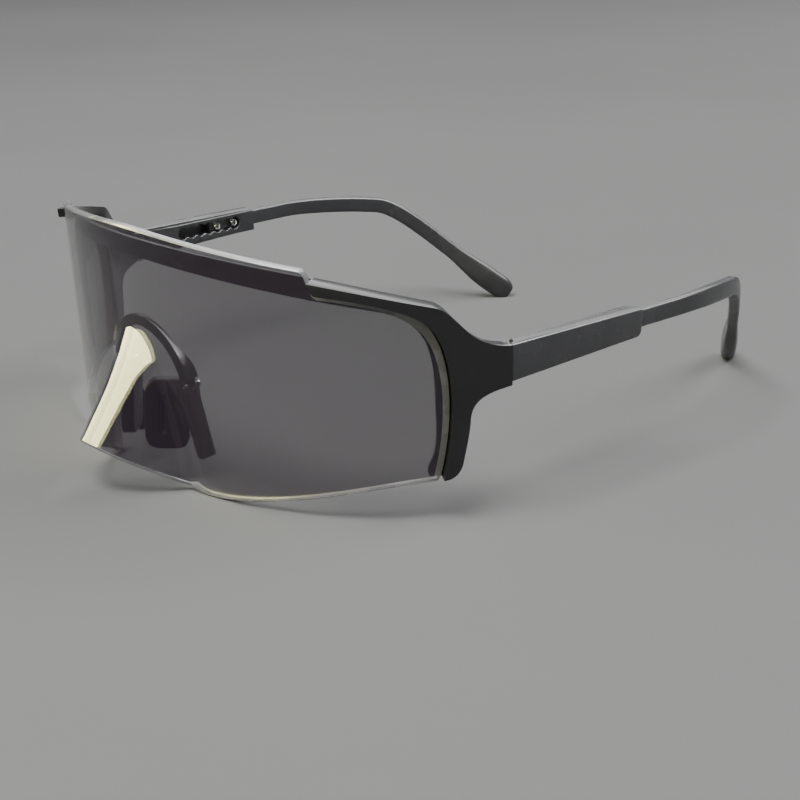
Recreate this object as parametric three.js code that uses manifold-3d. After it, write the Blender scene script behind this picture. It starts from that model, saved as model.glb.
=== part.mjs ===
// Wraparound sport sunglasses: one curved shield lens with a nose beak, held in the rebate of a
// half frame, and temples that fold and slide in their sleeves to change their length.
// Millimetres, +Z up. The front faces -Y and +X is the wearer's left. The origin is on the
// ground under the middle of the glasses, which stand on the lens and on both ear tips.
import * as THREE from 'three';
import { mergeVertices } from 'three/addons/utils/BufferGeometryUtils.js';
import Module from 'manifold-3d';

const wasm = await Module();
wasm.setup();

// ---- Driving dimensions ----
const ORIGIN_Y = 75.59;          // from the middle of the lens's top edge back to the origin
const LENS_TOP = 58.2;           // height of the lens, from the ground to its top edge
const LENS_THICKNESS = 2.0;
const FRONT_TILT = 0.03;         // how far the front slopes back for each mm down
const WRAP_ARCS = [              // the front's plan curve: radii, and the flat distance each ends at
  { radius: 96.6, end: 44 },
  { radius: 58.7, end: 82 },
  { radius: 49.2, end: 120 },
];

const GAP = 0.3;                 // clearance between neighbouring pieces
const BROW_PROUD = 1.3;          // how far the frame stands in front of the lens
const SEAT_DEPTH = LENS_THICKNESS + GAP;
const FRAME_BACK = 3.4;          // depth of the frame's back face behind the lens's front face
const HINGE_BACK = 2.15;         // its depth where the frame thins towards the hinges
const BROW_SWELL = 0.35;         // how much prouder the frame stands at the brow than there

const BEAK = {
  slope: 0.76,                   // forward run of its ridge for each mm down
  top: 31.3,                     // height where the straight ridge would meet the lens
  softness: 7,                   // length over which the ridge starts gently instead
  apex: 35.8, spring: 24,        // its outline is a round arch above the spring line
  halfWidth: 10, flare: 0.27,    // below it the outline widens with straight sides
  crest: 1.8, foot: 1.1,         // exponents that round its ridge and the feet of its flanks
  edgeZ: 11.75,                  // height of the lens's bottom edge at the ridge
};

const SEAM = { x: 73.45, y: 45.8 };   // outer front corner of the temple sleeve
const TEMPLE_SPREAD = 2.1 * Math.PI / 180;
const SLEEVE_LENGTH = 39.8;
const SLEEVE_WALL = 3.4;         // thickness of the sleeve without its cover
const COVER_FACE = 4.9;          // depth of the cover's inner face from the sleeve's outer face
const CHANNEL = { start: 12, near: 0.85, low: 31.9, high: 36.4 };
const TONGUE = { thick: 2.3, high: 4.2, depth: 2.2, z: 34.15, front: 24.6, straight: 53 };

const SLOT_PITCH = 3.0;
const SLOT_LOBES = 7;
const SLOT_LAST = 32.6;          // distance of the rearmost lobe from the sleeve's front end
const PIN_LOBES = [0, 2];        // lobes, counted from the rear, that hold the two pins
const PIN_HEAD_R = 1.05;

const HINGE = { along: 0.4, depth: 2.95, radius: 1.6, bore: 0.85, pin: 0.6, head: 1.1 };
const KNUCKLES = { low: 29.7, midLow: 31.8, midHigh: 34.6, high: 36.9 };

const ARCH = {
  centre: 20, halfWidth: 16.2, height: 17.4, band: 2.6, front: 2.5, back: 5.9,
  thinAbove: 34, fullBelow: 27,
};
const LEG_PIVOT = { x: 13.7, z: 23.2 };
const LEG_PIN_R = 0.5;
const LUG = { front: 3.75, back: 5.3, radius: 1.35 };
const LEG = { front: 2.6, back: 6.45, half: 1.1, foot: 5.2, slant: 0.2 };
const PAD = {
  x: 7.5, y: 3.8, z: 16.2, splay: Math.PI / 4, lean: 0.08, length: 10, height: 16.2, thick: 3,
  tabStart: 1.9, tabEnd: 7.6,
};

// ---- Solids, cuts and bends ----
function toSolid(geometry) {
  const bare = geometry.clone();
  bare.deleteAttribute('normal');
  bare.deleteAttribute('uv');
  const merged = mergeVertices(bare, 1e-4);
  return new wasm.Manifold(new wasm.Mesh({
    numProp: 3,
    vertProperties: new Float32Array(merged.attributes.position.array),
    triVerts: new Uint32Array(merged.index.array),
  }));
}

function toGeometry(solid) {
  const mesh = solid.getMesh();
  const geometry = new THREE.BufferGeometry();
  geometry.setAttribute('position', new THREE.BufferAttribute(mesh.vertProperties, 3));
  geometry.setIndex(new THREE.BufferAttribute(mesh.triVerts, 1));
  return geometry;
}

function join(first, ...others) {
  return toGeometry(others.reduce((solid, other) => solid.add(toSolid(other)), toSolid(first)));
}

function cut(first, ...tools) {
  return toGeometry(tools.reduce((solid, tool) => solid.subtract(toSolid(tool)), toSolid(first)));
}

function triangles(geometry) {
  const flat = geometry.index ? geometry.toNonIndexed() : geometry;
  const position = flat.attributes.position;
  const list = [];
  for (let i = 0; i < position.count; i += 3) {
    list.push([0, 1, 2].map((k) => new THREE.Vector3().fromBufferAttribute(position, i + k)));
  }
  return list;
}

function fromTriangles(list) {
  return mergeVertices(new THREE.BufferGeometry().setFromPoints(list.flat()), 1e-4);
}

function box(x0, x1, y0, y1, z0, z1) {
  return new THREE.BoxGeometry(x1 - x0, y1 - y0, z1 - z0)
    .translate((x0 + x1) / 2, (y0 + y1) / 2, (z0 + z1) / 2);
}

// Splits a triangle at the points that lie inside its edges.
function splitAt(triangle, points) {
  for (let k = 0; k < 3; k += 1) {
    const [a, b, c] = [0, 1, 2].map((n) => triangle[(k + n) % 3]);
    const inside = points.find((point) => {
      const [before, after] = [a.distanceTo(point), b.distanceTo(point)];
      return Math.min(before, after) > 1e-3 && before + after - a.distanceTo(b) < 1e-6;
    });
    if (inside) return [...splitAt([a, inside, c], points), ...splitAt([inside, b, c], points)];
  }
  return [triangle];
}

// Divides a solid's faces along planes of x and z, so that a flat piece can bend there. The cells
// are cut one by one and put together again without the walls between them.
function gridded(geometry, columns, rows = []) {
  const far = 200;
  const solid = toSolid(geometry);
  const cells = [];
  const xs = [-far, ...columns, far];
  const zs = [-far, ...rows, far];
  for (let i = 1; i < xs.length; i += 1) {
    const strip = solid.intersect(toSolid(box(xs[i - 1], xs[i], -far, far, -far, far)));
    for (let k = 1; k < zs.length && !strip.isEmpty(); k += 1) {
      const cell = strip.intersect(toSolid(box(-far, far, -far, far, zs[k - 1], zs[k])));
      if (!cell.isEmpty()) cells.push(...triangles(toGeometry(cell)));
    }
  }
  const planes = [...columns.map((value) => ['x', value]), ...rows.map((value) => ['z', value])];
  const within = (corners, [axis, value]) => corners.every((c) => Math.abs(c[axis] - value) < 1e-4);
  const faces = cells.filter((triangle) => !planes.some((plane) => within(triangle, plane)));
  return fromTriangles(planes.reduce((list, plane) => {
    const points = list.flat().filter((corner) => within([corner], plane));
    return list.flatMap((triangle) => {
      const touching = triangle.filter((corner) => within([corner], plane)).length > 1;
      return touching ? splitAt(triangle, points) : [triangle];
    });
  }, faces));
}

function warped(geometry, place) {
  const position = geometry.attributes.position;
  for (let i = 0; i < position.count; i += 1) {
    const point = place(position.getX(i), position.getY(i), position.getZ(i));
    position.setXYZ(i, point.x, point.y, point.z);
  }
  return geometry;
}

function mirrored(geometry) {
  const flipped = triangles(geometry).map(([a, b, c]) => [a, c, b]);
  return warped(fromTriangles(flipped), (x, y, z) => new THREE.Vector3(-x, y, z));
}

function everyStep(step, from, to) {
  const count = Math.round((to - from) / step);
  return Array.from({ length: count + 1 }, (_, i) => from + i * step);
}

function smoothstep(from, to, value) {
  const t = Math.min(1, Math.max(0, (value - from) / (to - from)));
  return t * t * (3 - 2 * t);
}

// ---- The wrapped front ----
// Flat pieces of the front are drawn with x across, y depth towards the face, z height.
function planPoint(across, depth) {
  const reach = Math.abs(across);
  let heading = 0;
  let x = 0;
  let y = 0;
  let start = 0;
  for (const arc of WRAP_ARCS) {
    const next = heading + (Math.min(reach, arc.end) - start) / arc.radius;
    x += arc.radius * (Math.sin(next) - Math.sin(heading));
    y += arc.radius * (Math.cos(heading) - Math.cos(next));
    heading = next;
    start = arc.end;
    if (reach <= arc.end) break;
  }
  x -= depth * Math.sin(heading);
  y += depth * Math.cos(heading);
  return { x: Math.sign(across) * x, y };
}

function onWrap(across, depth, z) {
  const plan = planPoint(across, depth);
  return new THREE.Vector3(plan.x, plan.y + FRONT_TILT * (LENS_TOP - z), z);
}

function beakRise(across, z) {
  const below = BEAK.top - z;
  const arch = Math.min(1, Math.max(0, z - BEAK.spring) / (BEAK.apex - BEAK.spring));
  const ridge = BEAK.slope * (below + Math.hypot(below, BEAK.softness)) / 2 * (1 - arch ** 4);
  const flare = BEAK.flare * Math.max(0, BEAK.spring - z);
  const halfWidth = BEAK.halfWidth * Math.sqrt(1 - arch * arch) + flare;
  if (Math.abs(across) >= halfWidth) return 0;
  return ridge * (1 - (Math.abs(across) / halfWidth) ** BEAK.crest) ** BEAK.foot;
}

function lensFront(across, z) {
  const point = onWrap(across, 0, z);
  point.y -= beakRise(across, z);
  return point;
}

function onLens(across, depth, z) {
  const step = 0.05;
  const alongX = lensFront(across + step, z).sub(lensFront(across - step, z));
  const alongZ = lensFront(across, z + step).sub(lensFront(across, z - step));
  const inward = alongZ.cross(alongX).normalize();
  return lensFront(across, z).addScaledVector(inward, depth);
}

// A closed outline from its right half, which runs from the centre line round to it again.
function symmetricShape(half, divisions) {
  const right = half.getPoints(divisions);
  const left = right.filter((point) => point.x > 1e-6);
  return new THREE.Shape([...right, ...left.map((p) => new THREE.Vector2(-p.x, p.y)).reverse()]);
}

// A flat plate from an outline drawn with x across and y up, between two depths.
function plate(shape, near, far, divisions = 6) {
  const options = { depth: far - near, bevelEnabled: false, curveSegments: divisions };
  const geometry = new THREE.ExtrudeGeometry(shape, options);
  return geometry.rotateX(Math.PI / 2).translate(0, far, 0);
}

function lensHalfOutline(edge) {
  const path = new THREE.Path();
  path.moveTo(0, LENS_TOP + edge);
  path.quadraticCurveTo(14, LENS_TOP + edge, 48.3, 54.5 + edge);
  path.quadraticCurveTo(49.7 + edge, 54.4 + edge, 50.2 + edge, 52.6);
  path.lineTo(51.2 + edge, 50.2 + edge);
  path.quadraticCurveTo(51.5 + edge, 49.5 + edge, 52.4 + edge, 49.4 + edge);
  path.bezierCurveTo(60, 48.8 + edge, 67.5, 47.3 + edge, 71.8 + edge, 44.7 + edge);
  path.bezierCurveTo(76.2 + edge, 42.2 + edge, 78.5 + edge, 36, 78.5 + edge, 26.5);
  path.bezierCurveTo(78.5 + edge, 20.5, 77.4 + edge, 14.5, 76.2 + edge, 10);
  path.quadraticCurveTo(75.9 + edge, 9 - edge, 74.8 + edge, 8.9 - edge);
  return path;
}

function lensShape() {
  const path = lensHalfOutline(0);
  path.bezierCurveTo(60, 8.2, 36, 0, 21, 0);
  path.quadraticCurveTo(17.6, 0.1, 15.8, 1.5);
  path.bezierCurveTo(11.5, 5.6, 5.2, BEAK.edgeZ, 0, BEAK.edgeZ);
  return symmetricShape(path, 6);
}

function makeLens() {
  const flat = plate(lensShape(), 0, LENS_THICKNESS);
  const columns = [...everyStep(5, -76, -21), ...everyStep(2, -16, 16), ...everyStep(5, 21, 76)];
  const rows = [...everyStep(4, 4, 28), ...everyStep(1.3, 30, 35.2), 37];
  return warped(gridded(flat, columns, rows), onLens);
}

// ---- Frame ----
function frameShape() {
  const path = new THREE.Path();
  path.moveTo(0, 55.2);
  path.quadraticCurveTo(22, 55.2, 48, 52.6);
  path.bezierCurveTo(58, 51.4, 67, 49.3, 75.4, 47.3);
  path.quadraticCurveTo(77, 46.9, 78.4, 45.6);
  path.lineTo(81.6, 42.2);
  path.bezierCurveTo(84.3, 39.3, 87, 37.6, 94, 37.2);
  path.lineTo(94, 29);
  path.bezierCurveTo(87, 28.4, 82.8, 27.6, 82.3, 22.6);
  path.bezierCurveTo(82, 19, 81.1, 16, 80.6, 13.6);
  path.quadraticCurveTo(80, 10.6, 77.6, 9.8);
  path.lineTo(74, 9.2);
  path.quadraticCurveTo(73, 10.4, 74.2, 12.2);
  path.bezierCurveTo(75.8, 14.6, 75.9, 19, 75.8, 24);
  path.bezierCurveTo(75.7, 30, 76.2, 36, 73, 40.8);
  path.bezierCurveTo(71, 43.6, 68, 45, 63.5, 45.8);
  path.bezierCurveTo(50, 48, 22, 51.1, 0, 51.1);
  return symmetricShape(path, 5);
}

// The pocket reaches past the lens's outline by the clearance, and is open at the bottom.
function pocketShape() {
  const path = lensHalfOutline(GAP);
  path.lineTo(74.8, -5);
  path.lineTo(0, -5);
  return symmetricShape(path, 6);
}

function hingeCylinder(radius, low, high) {
  const centre = templePoint(HINGE.along, HINGE.depth, 0);
  const cylinder = new THREE.CylinderGeometry(radius, radius, high - low, 20).rotateX(Math.PI / 2);
  return cylinder.translate(centre.x, centre.y, (low + high) / 2);
}

// The frame thins towards its hinges, at the back and at the front.
function onFrame(across, depth, z) {
  const thinned = smoothstep(75, 84, Math.abs(across));
  const back = 1 + (HINGE_BACK / FRAME_BACK - 1) * thinned;
  const front = 1 + BROW_SWELL * (1 - thinned);
  return onWrap(across, depth * (depth > 0 ? back : front), z);
}

function makeFrame() {
  const pocket = plate(pocketShape(), -BROW_PROUD - 5, SEAT_DEPTH);
  const flat = cut(plate(frameShape(), -BROW_PROUD, FRAME_BACK), pocket);
  const columns = everyStep(4.5, -90, 90);
  const bent = warped(gridded(flat, columns), onFrame);
  const seamY = SEAM.y - GAP;
  let frame = bent;
  for (const side of [1, -1]) {
    const place = (geometry) => (side > 0 ? geometry : mirrored(geometry));
    const knuckles = [
      hingeCylinder(HINGE.radius, KNUCKLES.low, KNUCKLES.midLow - GAP),
      hingeCylinder(HINGE.radius, KNUCKLES.midHigh + GAP, KNUCKLES.high),
    ];
    frame = cut(
      frame,
      place(box(60, 90, seamY, seamY + 12, 0, 60)),
      place(hingeCylinder(HINGE.radius + GAP, KNUCKLES.midLow - GAP, KNUCKLES.midHigh + GAP)),
    );
    frame = join(frame, ...knuckles.map(place));
    const counterbore = hingeCylinder(HINGE.head + GAP, 20, KNUCKLES.low);
    frame = cut(frame, place(hingeCylinder(HINGE.bore, 20, 45)), place(counterbore));
  }
  return frame;
}

function makeHingeScrew() {
  const centre = templePoint(HINGE.along, HINGE.depth, 0);
  const headLow = KNUCKLES.low - 0.9;
  const headHigh = KNUCKLES.low - 0.15;
  const profile = [
    [0, headLow + 0.3], [0.35, headLow + 0.3], [0.35, headLow], [HINGE.head - 0.2, headLow],
    [HINGE.head, headLow + 0.2], [HINGE.head, headHigh], [HINGE.pin, headHigh], [HINGE.pin, KNUCKLES.high - 0.3],
    [HINGE.pin - 0.2, KNUCKLES.high - 0.1], [0, KNUCKLES.high - 0.1],
  ];
  const points = profile.map(([r, z]) => new THREE.Vector2(r, z));
  return new THREE.LatheGeometry(points, 16).rotateX(Math.PI / 2).translate(centre.x, centre.y, 0);
}

// ---- Temples, drawn on the left ----
// Along the sleeve from its front end, depth inwards from its outer face, and height.
function templePoint(along, depth, z) {
  const sin = Math.sin(TEMPLE_SPREAD);
  const cos = Math.cos(TEMPLE_SPREAD);
  return new THREE.Vector3(
    SEAM.x + along * sin - depth * cos,
    SEAM.y + along * cos + depth * sin,
    z,
  );
}

// A plate from an outline drawn with x along the sleeve and y up, between two depths.
function templePlate(shape, near, far, divisions = 6) {
  const options = { depth: far - near, bevelEnabled: false, curveSegments: divisions };
  const geometry = new THREE.ExtrudeGeometry(shape, options);
  return warped(geometry, (x, y, z) => templePoint(x, far - z, y));
}

// A block from an outline drawn with x along the sleeve and y inwards, between two heights.
function templeBlock(shape, low, high) {
  const geometry = new THREE.ExtrudeGeometry(shape, { depth: high - low, bevelEnabled: false });
  return warped(geometry, (x, y, z) => templePoint(x, y, low + z));
}

function outline(points) {
  return new THREE.Shape(points.map(([x, y]) => new THREE.Vector2(x, y)));
}

function makeSleeve() {
  const side = new THREE.Shape();
  side.moveTo(0, 29.3);
  side.lineTo(SLEEVE_LENGTH - 2, 30.5);
  side.quadraticCurveTo(SLEEVE_LENGTH, 30.5, SLEEVE_LENGTH, 32.3);
  side.lineTo(SLEEVE_LENGTH, 36.4);
  side.quadraticCurveTo(SLEEVE_LENGTH, 37, SLEEVE_LENGTH - 0.6, 37);
  side.lineTo(0, 37.5);
  const channel = outline([
    [CHANNEL.start, CHANNEL.low], [SLEEVE_LENGTH + 1, CHANNEL.low],
    [SLEEVE_LENGTH + 1, CHANNEL.high], [CHANNEL.start, CHANNEL.high],
  ]);
  const body = cut(
    templePlate(side, 0, SLEEVE_WALL),
    templePlate(channel, CHANNEL.near, SLEEVE_WALL + 1),
    hingeCylinder(HINGE.radius + GAP, 25, KNUCKLES.midLow),
    hingeCylinder(HINGE.radius + GAP, KNUCKLES.midHigh, 45),
  );
  const knuckle = hingeCylinder(HINGE.radius, KNUCKLES.midLow, KNUCKLES.midHigh);
  return cut(join(body, knuckle), hingeCylinder(HINGE.bore, 20, 45));
}

// The slot's edge swells at each lobe and narrows between them, with round ends.
function scallopedSlot() {
  const middle = TONGUE.z;
  const first = SLOT_LAST - (SLOT_LOBES - 1) * SLOT_PITCH;
  const halfHeight = (along) => 1.5 + 0.28 * Math.cos(2 * Math.PI * (along - first) / SLOT_PITCH);
  const points = [];
  for (const along of everyStep(SLOT_PITCH / 6, first, SLOT_LAST)) {
    points.push([along, middle - halfHeight(along)]);
  }
  for (const turn of [-60, -30, 0, 30, 60]) {
    const angle = turn * Math.PI / 180;
    points.push([SLOT_LAST + 1.78 * Math.cos(angle), middle + 1.78 * Math.sin(angle)]);
  }
  for (const along of everyStep(SLOT_PITCH / 6, first, SLOT_LAST).reverse()) {
    points.push([along, middle + halfHeight(along)]);
  }
  for (const turn of [120, 150, 180, 210, 240]) {
    const angle = turn * Math.PI / 180;
    points.push([first + 1.78 * Math.cos(angle), middle + 1.78 * Math.sin(angle)]);
  }
  return outline(points);
}

function makeCover() {
  const seat = SLEEVE_WALL + GAP;
  const end = SLEEVE_LENGTH - 0.2;
  const plan = outline([[3, seat], [end, seat], [end, COVER_FACE], [13, COVER_FACE], [3, seat + 0.2]]);
  return cut(templeBlock(plan, 30.9, 36.7), templePlate(scallopedSlot(), seat - 1, COVER_FACE + 1));
}

function pinAlong(lobe) {
  return SLOT_LAST - lobe * SLOT_PITCH;
}

// Turns a profile of radius and depth into a round piece across the temple.
function templeTurned(profile, along, z) {
  const points = profile.map(([r, depth]) => new THREE.Vector2(r, depth));
  const turned = new THREE.LatheGeometry(points, 16);
  return warped(turned, (x, y, h) => templePoint(along + x, y, z + h));
}

function makeDetentPin(lobe) {
  const profile = [
    [0, 1.7], [0.55, 1.7], [0.55, 3.4], [PIN_HEAD_R, 3.4], [PIN_HEAD_R, 4.5],
    [0.85, 4.7], [0.6, 4.7], [0.45, 4.3], [0, 4.3],
  ];
  return templeTurned(profile, pinAlong(lobe), TONGUE.z);
}

function pinBore(lobe) {
  return templeTurned([[0, 1.45], [0.8, 1.45], [0.8, 6], [0, 6]], pinAlong(lobe), TONGUE.z);
}

// The arm's centre line: straight in the sleeve, then round behind the ear, down and inwards.
function armPath() {
  const start = templePoint(TONGUE.front, TONGUE.depth, TONGUE.z);
  const bend = templePoint(TONGUE.straight, TONGUE.depth, TONGUE.z);
  const ahead = templePoint(TONGUE.straight + 8, TONGUE.depth, TONGUE.z);
  const point = (x, y, z) => new THREE.Vector3(x, y, z);
  const path = new THREE.CurvePath();
  path.add(new THREE.LineCurve3(start, bend));
  path.add(new THREE.CubicBezierCurve3(bend, ahead, point(70.4, 120, 33.2), point(66.4, 129.8, 31.6)));
  path.add(new THREE.CubicBezierCurve3(
    point(66.4, 129.8, 31.6), point(62.8, 138.6, 30.2), point(51.5, 152.5, 10.8), point(42.2, 164.5, 1.1),
  ));
  return path;
}

// A ring of points round the path: thick across, high in the plane that the arm bends in.
function ringAt(path, share, thick, high) {
  const centre = path.getPointAt(share);
  const tangent = path.getTangentAt(share);
  const across = tangent.clone().cross(new THREE.Vector3(0, 0, 1)).normalize();
  const up = across.clone().cross(tangent).normalize();
  const bevel = 0.3;
  const corners = [
    [1, 1 - bevel], [1 - bevel, 1], [bevel - 1, 1], [-1, 1 - bevel],
    [-1, bevel - 1], [bevel - 1, -1], [1 - bevel, -1], [1, bevel - 1],
  ];
  return corners.map(([a, b]) => centre.clone()
    .addScaledVector(across, a * thick / 2)
    .addScaledVector(up, b * high / 2));
}

function lofted(rings) {
  const list = [];
  const size = rings[0].length;
  rings.slice(1).forEach((ring, i) => {
    const last = rings[i];
    for (let k = 0; k < size; k += 1) {
      const next = (k + 1) % size;
      list.push([last[k], ring[next], last[next]], [last[k], ring[k], ring[next]]);
    }
  });
  const first = rings[0];
  const end = rings[rings.length - 1];
  for (let k = 1; k + 1 < size; k += 1) {
    list.push([first[0], first[k], first[k + 1]], [end[0], end[k + 1], end[k]]);
  }
  return fromTriangles(list);
}

const TIP_START = 0.78;          // share of the arm's length where the rubber tip begins

function makeArm() {
  const path = armPath();
  const shares = [...everyStep(0.04, 0, TIP_START - 0.02), TIP_START + 0.004];
  const body = shares.map((share) => {
    const grown = smoothstep(0.26, 0.4, share);
    return ringAt(path, share, TONGUE.thick + 0.5 * grown, TONGUE.high + 0.3 * grown);
  });
  const core = [TIP_START + 0.005, 0.84, 0.9, 0.95].map((share) => ringAt(path, share, 1.5, 2.6));
  return cut(lofted([...body, ...core]), ...PIN_LOBES.map(pinBore));
}

function makeEarTip() {
  const path = armPath();
  const outer = everyStep(0.024, TIP_START + 0.012, 0.996).map((share) => {
    const swell = smoothstep(TIP_START, 0.92, share);
    const end = Math.sqrt(1 - 0.7 * smoothstep(0.955, 1, share));
    return ringAt(path, share, (2.9 + 1.4 * swell) * end, (4.6 + 2.7 * swell) * end);
  });
  const hollow = [TIP_START, 0.84, 0.9, 0.957].map((share) => ringAt(path, share, 2.1, 3.2));
  const ground = box(0, 100, 100, 200, -10, 0);
  return cut(lofted(outer), lofted(hollow), ground);
}

// ---- Nose piece, drawn behind the lens like the frame ----
function archShape() {
  const low = Math.asin((LEG_PIVOT.z + 2.1 - ARCH.centre) / ARCH.height);
  const arc = (inset) => {
    const width = ARCH.halfWidth - inset;
    const height = ARCH.height - inset;
    return new THREE.EllipseCurve(0, ARCH.centre, width, height, Math.PI - low, low, true).getPoints(18);
  };
  return new THREE.Shape([...arc(0), ...arc(ARCH.band).reverse()]);
}

// A strap with a round end on the leg's pivot and a square end at another height.
function strapShape(radius, squareEnd) {
  const shape = new THREE.Shape();
  const up = squareEnd > LEG_PIVOT.z;
  shape.absarc(LEG_PIVOT.x, LEG_PIVOT.z, radius, 0, Math.PI, up);
  shape.lineTo(LEG_PIVOT.x - radius, squareEnd);
  shape.lineTo(LEG_PIVOT.x + radius, squareEnd);
  return shape;
}

function pivotCylinder(radius, front, back) {
  return new THREE.CylinderGeometry(radius, radius, back - front, 16)
    .translate(LEG_PIVOT.x, (front + back) / 2, LEG_PIVOT.z);
}

function makeBracket() {
  const lug = cut(
    plate(strapShape(LUG.radius, LEG_PIVOT.z + 3.2), LUG.front, LUG.back),
    pivotCylinder(LEG_PIN_R + GAP, 0, 12),
  );
  const flat = join(plate(archShape(), ARCH.front, ARCH.back), lug, mirrored(lug));
  const thinned = (across, depth, z) => {
    const share = 1 - 0.65 * smoothstep(ARCH.fullBelow, ARCH.thinAbove, z);
    return onWrap(across, ARCH.front + (depth - ARCH.front) * share, z);
  };
  return warped(gridded(flat, everyStep(3, -12, 12)), thinned);
}

function legSlant(z) {
  return LEG.slant * Math.max(0, LEG_PIVOT.z - 3 - z);
}

// Along the pad from its front to its back, up from its middle, and towards its outer face.
function padPoint(along, up, depth) {
  const sin = Math.sin(PAD.splay);
  const cos = Math.cos(PAD.splay);
  return new THREE.Vector3(
    PAD.x + along * cos + depth * sin,
    PAD.y + along * sin - depth * cos + PAD.lean * up,
    PAD.z + up,
  );
}

function padBlock(along0, along1, halfDepth, halfHeight) {
  return warped(box(along0, along1, -halfHeight, halfHeight, -halfDepth, halfDepth), padPoint);
}

function makeLeg() {
  const shape = new THREE.Shape();
  const [inner, outer] = [LEG_PIVOT.x - LEG.half, LEG_PIVOT.x + LEG.half];
  shape.moveTo(inner, LEG_PIVOT.z - 1.65);
  shape.lineTo(outer, LEG_PIVOT.z - 1.65);
  shape.lineTo(outer, LEG.foot);
  shape.lineTo(inner + 0.5, LEG.foot);
  shape.lineTo(inner, LEG.foot + 0.5);
  const cheek = strapShape(LEG.half, LEG_PIVOT.z - 2);
  const flat = cut(
    join(
      plate(shape, LEG.front, LEG.back),
      plate(cheek, LEG.front, LUG.front - GAP),
      plate(cheek, LUG.back + GAP, LEG.back),
    ),
    pivotCylinder(LEG_PIN_R + GAP, 0, 12),
  );
  const slanted = (x, y, z) => onWrap(x, y + legSlant(z), z);
  const leg = warped(gridded(flat, [], [LEG_PIVOT.z - 3]), slanted);
  return join(leg, padBlock(PAD.tabStart, PAD.tabEnd, 0.5, 2.5));
}

function makeLegPin() {
  const head = pivotCylinder(LEG_PIN_R + 0.4, LEG.back + 0.15, LEG.back + 0.75);
  return warped(join(pivotCylinder(LEG_PIN_R, LEG.front + 0.2, LEG.back + 0.5), head), onWrap);
}

function makePad() {
  const edge = 0.6;
  const half = { along: PAD.length / 2 - edge, up: PAD.height / 2 - edge, round: 2.6 };
  const shape = new THREE.Shape();
  shape.moveTo(-half.along, -half.up + half.round);
  shape.quadraticCurveTo(-half.along, -half.up, -half.along + half.round, -half.up);
  shape.lineTo(half.along - half.round, -half.up);
  shape.quadraticCurveTo(half.along, -half.up, half.along, -half.up + half.round);
  shape.lineTo(half.along, half.up - half.round);
  shape.quadraticCurveTo(half.along, half.up, half.along - half.round, half.up);
  shape.lineTo(-half.along + half.round, half.up);
  shape.quadraticCurveTo(-half.along, half.up, -half.along, half.up - half.round - 1);
  const options = {
    depth: PAD.thick - 2 * edge, bevelThickness: edge, bevelSize: edge, bevelSegments: 2,
    curveSegments: 4,
  };
  const flat = new THREE.ExtrudeGeometry(shape, options).translate(0, 0, edge - PAD.thick / 2);
  const grip = padBlock(PAD.tabStart - GAP, 12, 0.5 + GAP, 2.5 + GAP);
  const slot = padBlock(-1.6, -0.2, 5, 4.6);
  return cut(warped(flat, padPoint), grip, slot);
}

// ---- Assembly ----
const SATIN_BLACK = { color: 0x1b1d1f, roughness: 0.45 };
const DARK_GREY = { color: 0x2d2f31, roughness: 0.5 };
const RUBBER = { color: 0x242628, roughness: 0.75 };
const STEEL = { color: 0xa9acae, roughness: 0.3, metalness: 1 };
const TINT = {
  color: 0x33363a, roughness: 0.05, transparent: true, opacity: 0.72, side: THREE.DoubleSide,
};

const root = new THREE.Group();
root.position.y = -ORIGIN_Y;

function add(name, geometry, look) {
  const crisp = geometry.toNonIndexed();
  crisp.computeVertexNormals();
  const mesh = new THREE.Mesh(crisp, new THREE.MeshStandardMaterial(look));
  mesh.name = name;
  root.add(mesh);
}

function addPair(name, geometry, look) {
  add(`${name}_left`, geometry, look);
  add(`${name}_right`, mirrored(geometry), look);
}

add('front_frame', makeFrame(), SATIN_BLACK);
add('lens', makeLens(), TINT);
add('nose_bracket', makeBracket(), SATIN_BLACK);
addPair('nose_leg', makeLeg(), SATIN_BLACK);
addPair('nose_leg_pin', makeLegPin(), STEEL);
addPair('nose_pad', makePad(), RUBBER);
addPair('hinge_screw', makeHingeScrew(), STEEL);
addPair('temple_sleeve', makeSleeve(), DARK_GREY);
addPair('sleeve_cover', makeCover(), DARK_GREY);
addPair('temple_arm', makeArm(), DARK_GREY);
addPair('ear_tip', makeEarTip(), RUBBER);
PIN_LOBES.forEach((lobe, i) => addPair(`detent_pin_${i + 1}`, makeDetentPin(lobe), STEEL));

export default root;
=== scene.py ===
"""Wraparound sport sunglasses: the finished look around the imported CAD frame.

The pieces are drawn flat in millimetres (across, depth, height), rounded, divided and then bent
onto the wrapped front or placed along a temple. The left-hand pieces are mirrored for the right.
"""
import math

import bmesh
import bpy
from mathutils import Matrix, Vector


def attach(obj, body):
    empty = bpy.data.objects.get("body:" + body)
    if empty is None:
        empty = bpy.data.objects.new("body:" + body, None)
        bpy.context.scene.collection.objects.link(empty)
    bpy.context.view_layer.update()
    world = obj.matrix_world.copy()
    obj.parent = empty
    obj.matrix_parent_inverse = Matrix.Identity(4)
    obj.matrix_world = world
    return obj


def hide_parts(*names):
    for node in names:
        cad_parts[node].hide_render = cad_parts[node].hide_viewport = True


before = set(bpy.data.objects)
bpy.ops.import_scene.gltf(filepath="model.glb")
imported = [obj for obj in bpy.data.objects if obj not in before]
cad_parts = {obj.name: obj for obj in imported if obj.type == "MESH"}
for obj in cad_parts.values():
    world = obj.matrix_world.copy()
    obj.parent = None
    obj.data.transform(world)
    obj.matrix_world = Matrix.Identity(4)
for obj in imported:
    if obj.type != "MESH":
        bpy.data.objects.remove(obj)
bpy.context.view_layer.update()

# ---- Driving dimensions, in millimetres ----
MM = 0.001
ORIGIN_Y = 75.59
LENS_TOP = 58.2
LENS_THICKNESS = 2.0
FRONT_TILT = 0.03
WRAP_ARCS = ((96.6, 44.0), (58.7, 82.0), (49.2, 120.0))   # radius, flat distance where it ends

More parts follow.
